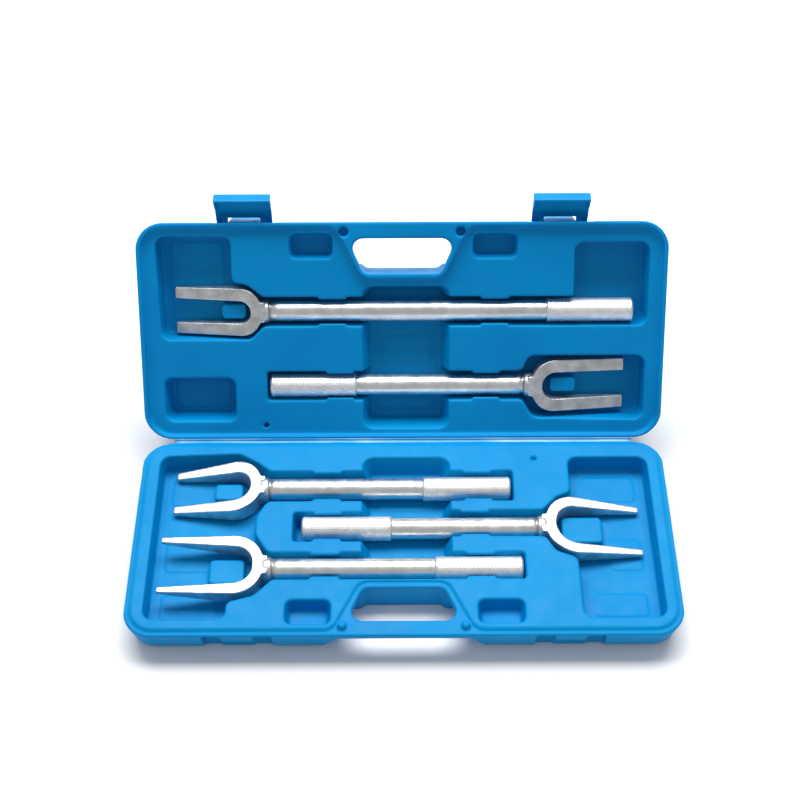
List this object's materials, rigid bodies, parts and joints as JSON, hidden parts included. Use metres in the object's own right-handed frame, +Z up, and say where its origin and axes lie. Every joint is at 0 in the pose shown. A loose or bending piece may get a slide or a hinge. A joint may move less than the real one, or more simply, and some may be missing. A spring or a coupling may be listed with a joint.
{
  "type": "ball joint separator set",
  "caption": "Wedge forks with knurled steel handles in a hinged, blow-moulded plastic case with moulded pockets, two latches and a carrying handle.",
  "frame": {"origin": "centre of the base's flat underside", "axes": "+X along the case's width, +Y towards the hinge at the back, +Z up out of the base"},
  "size_m": [0.466, 0.339, 0.2114],
  "materials": {
    "case_plastic": "satin",
    "latch_plastic": "satin",
    "forged_steel": "satin",
    "plated_steel": "bright",
    "pin_steel": "satin"
  },
  "bodies": {
    "base": {"base_shell": "case_plastic", "living_hinge": "case_plastic"},
    "lid": {"lid_shell": "case_plastic", "latch_pin_left": "pin_steel", "latch_pin_right": "pin_steel"},
    "latch_left": {"latch_left": "latch_plastic"},
    "latch_right": {"latch_right": "latch_plastic"},
    "lid_upper_fork": {"lid_upper_fork_head": "forged_steel", "lid_upper_fork_handle": "plated_steel"},
    "lid_lower_fork": {"lid_lower_fork_head": "forged_steel", "lid_lower_fork_handle": "plated_steel"},
    "base_rear_fork": {"base_rear_fork_head": "forged_steel", "base_rear_fork_handle": "plated_steel"},
    "base_middle_fork": {"base_middle_fork_head": "forged_steel", "base_middle_fork_handle": "plated_steel"},
    "base_front_fork": {"base_front_fork_head": "forged_steel", "base_front_fork_handle": "plated_steel"}
  },
  "joints": [
    {"name": "lid_hinge", "type": "hinge", "parent": "base", "child": "lid", "pos_m": [0, 0.0995, 0.03], "axis": [-1, 0, 0], "range_deg": [-125.5, 54.5]},
    {"name": "latch_left_pivot", "type": "hinge", "parent": "lid", "child": "latch_left", "pos_m": [-0.138, 0.22244, 0.18306], "axis": [-1, 0, 0], "range_deg": [-54, 36]},
    {"name": "latch_right_pivot", "type": "hinge", "parent": "lid", "child": "latch_right", "pos_m": [0.138, 0.22244, 0.18306], "axis": [-1, 0, 0], "range_deg": [-54, 36]},
    {"name": "lid_upper_fork_lift", "type": "slide", "parent": "lid", "child": "lid_upper_fork", "axis": [0, -0.8141, 0.5807], "range_m": [0, 0.09]},
    {"name": "lid_lower_fork_lift", "type": "slide", "parent": "lid", "child": "lid_lower_fork", "axis": [0, -0.8141, 0.5807], "range_m": [0, 0.09]},
    {"name": "base_rear_fork_lift", "type": "slide", "parent": "base", "child": "base_rear_fork", "axis": [0, 0, 1], "range_m": [0, 0.09]},
    {"name": "base_middle_fork_lift", "type": "slide", "parent": "base", "child": "base_middle_fork", "axis": [0, 0, 1], "range_m": [0, 0.09]},
    {"name": "base_front_fork_lift", "type": "slide", "parent": "base", "child": "base_front_fork", "axis": [0, 0, 1], "range_m": [0, 0.09]}
  ]
}
